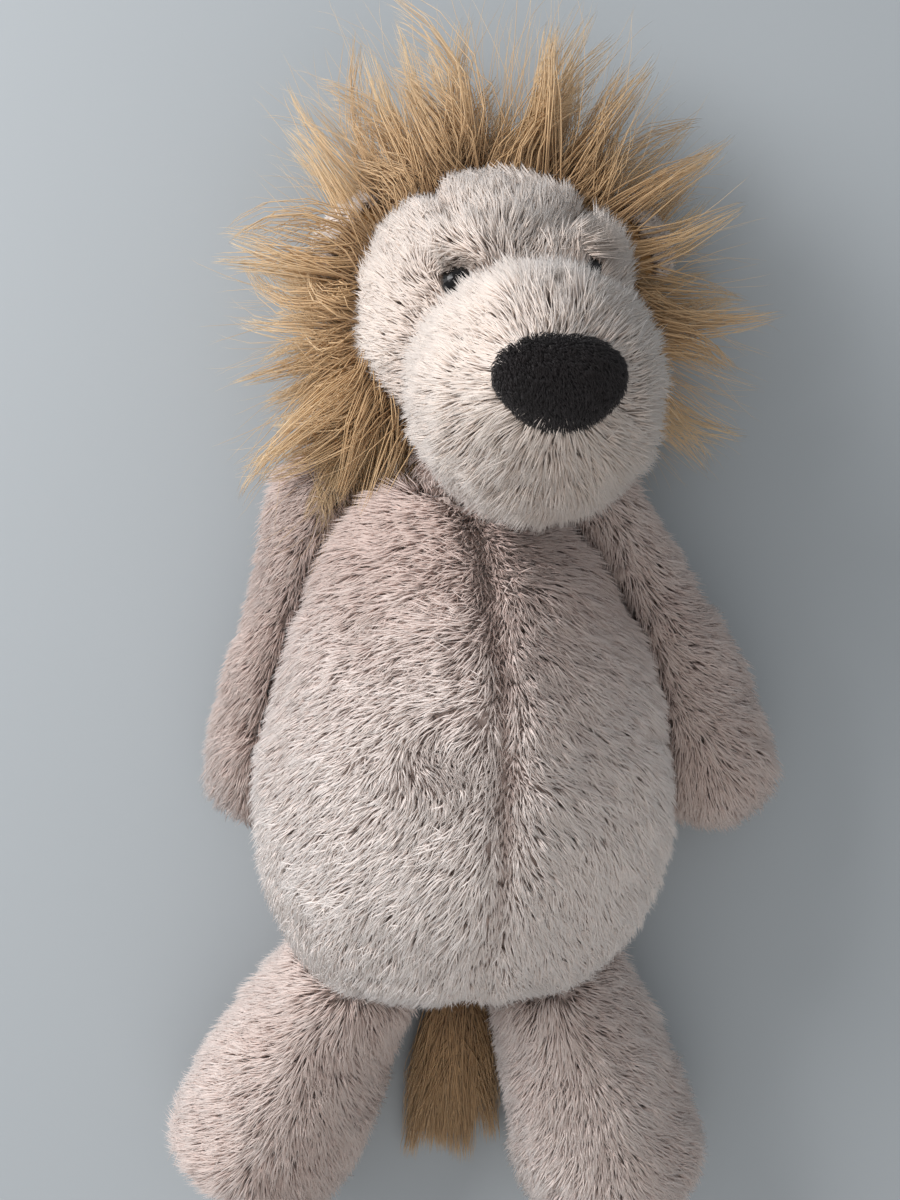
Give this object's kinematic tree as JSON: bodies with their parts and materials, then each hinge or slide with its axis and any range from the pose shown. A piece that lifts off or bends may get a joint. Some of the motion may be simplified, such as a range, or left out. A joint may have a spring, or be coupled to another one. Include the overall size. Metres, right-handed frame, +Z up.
{
  "type": "plush lion",
  "caption": "Soft toy lion lying on its back: pear-shaped stuffed body, turned head with a round muzzle, long shaggy mane, floppy arms and legs and a tufted tail.",
  "frame": {"origin": "on the flat of the back, where the torso rests, level with the lower chest", "axes": "+Z up out of the belly as the toy lies on its back, +Y along the body towards the head, +X towards the toy's own left side"},
  "size_m": [0.1836, 0.3772, 0.1225],
  "materials": {
    "body_pile": "short plush pile, pinkish beige",
    "face_pile": "short plush pile, cream",
    "mane_pile": "long shaggy pile, golden brown",
    "nose_pile": "very short dark brown pile",
    "eye_plastic": "glossy black",
    "washer_plastic": "moulded",
    "fibre_fill": "loose polyester fibre",
    "pellet_bag": "plain bag of plastic pellets"
  },
  "bodies": {
    "torso": {"seat_pellet_bag": "pellet_bag", "torso_back": "body_pile", "torso_front_left": "body_pile", "torso_front_right": "body_pile", "torso_stuffing": "fibre_fill"},
    "neck": {"neck_band": "body_pile", "neck_stuffing": "fibre_fill"},
    "head": {"cheek_left": "face_pile", "cheek_right": "face_pile", "ear_back_left": "body_pile", "ear_back_right": "body_pile", "ear_front_left": "face_pile", "ear_front_right": "face_pile", "eye_left": "eye_plastic", "eye_right": "eye_plastic", "eye_washer_left": "washer_plastic", "eye_washer_right": "washer_plastic", "forehead_gusset": "face_pile", "head_back": "mane_pile", "head_stuffing": "fibre_fill", "mane": "mane_pile", "muzzle_cover": "face_pile", "muzzle_stuffing": "fibre_fill", "nose_cover": "nose_pile", "nose_stuffing": "fibre_fill"},
    "arm_left": {"arm_left_inner": "body_pile", "arm_left_outer": "body_pile", "arm_left_stuffing": "fibre_fill"},
    "arm_right": {"arm_right_inner": "body_pile", "arm_right_outer": "body_pile", "arm_right_stuffing": "fibre_fill"},
    "leg_left": {"foot_left_pellet_bag": "pellet_bag", "leg_left_inner": "body_pile", "leg_left_outer": "body_pile", "leg_left_stuffing": "fibre_fill"},
    "leg_right": {"foot_right_pellet_bag": "pellet_bag", "leg_right_inner": "body_pile", "leg_right_outer": "body_pile", "leg_right_stuffing": "fibre_fill"},
    "tail": {"tail_cover": "body_pile", "tail_stuffing": "fibre_fill", "tail_tuft": "mane_pile"}
  },
  "joints": [
    {"name": "neck_nod", "type": "hinge", "parent": "torso", "child": "neck", "pos_m": [0.005, 0.038, 0.03872], "axis": [1, 0, 0], "range_deg": [-20, 2]},
    {"name": "head_turn", "type": "hinge", "parent": "neck", "child": "head", "pos_m": [0.005, 0.038, 0.03872], "axis": [0, 1, 0], "range_deg": [-30, 10]},
    {"name": "arm_left_swing", "type": "hinge", "parent": "torso", "child": "arm_left", "pos_m": [0.03837, 0.029, 0.03], "axis": [0, 0, 1], "range_deg": [0, 65]},
    {"name": "arm_right_swing", "type": "hinge", "parent": "torso", "child": "arm_right", "pos_m": [-0.03658, 0.029, 0.03], "axis": [0, 0, -1], "range_deg": [0, 65]},
    {"name": "leg_left_swing", "type": "hinge", "parent": "torso", "child": "leg_left", "pos_m": [0.03271, -0.11635, 0.047], "axis": [-0.9537, -0.3007, 0], "range_deg": [0, 90]},
    {"name": "leg_right_swing", "type": "hinge", "parent": "torso", "child": "leg_right", "pos_m": [-0.0305, -0.11512, 0.047], "axis": [-0.866, 0.5, 0], "range_deg": [0, 90]},
    {"name": "tail_lift", "type": "hinge", "parent": "torso", "child": "tail", "pos_m": [0.0025, -0.117, 0.011], "axis": [-1, 0, 0], "range_deg": [0, 24]}
  ]
}
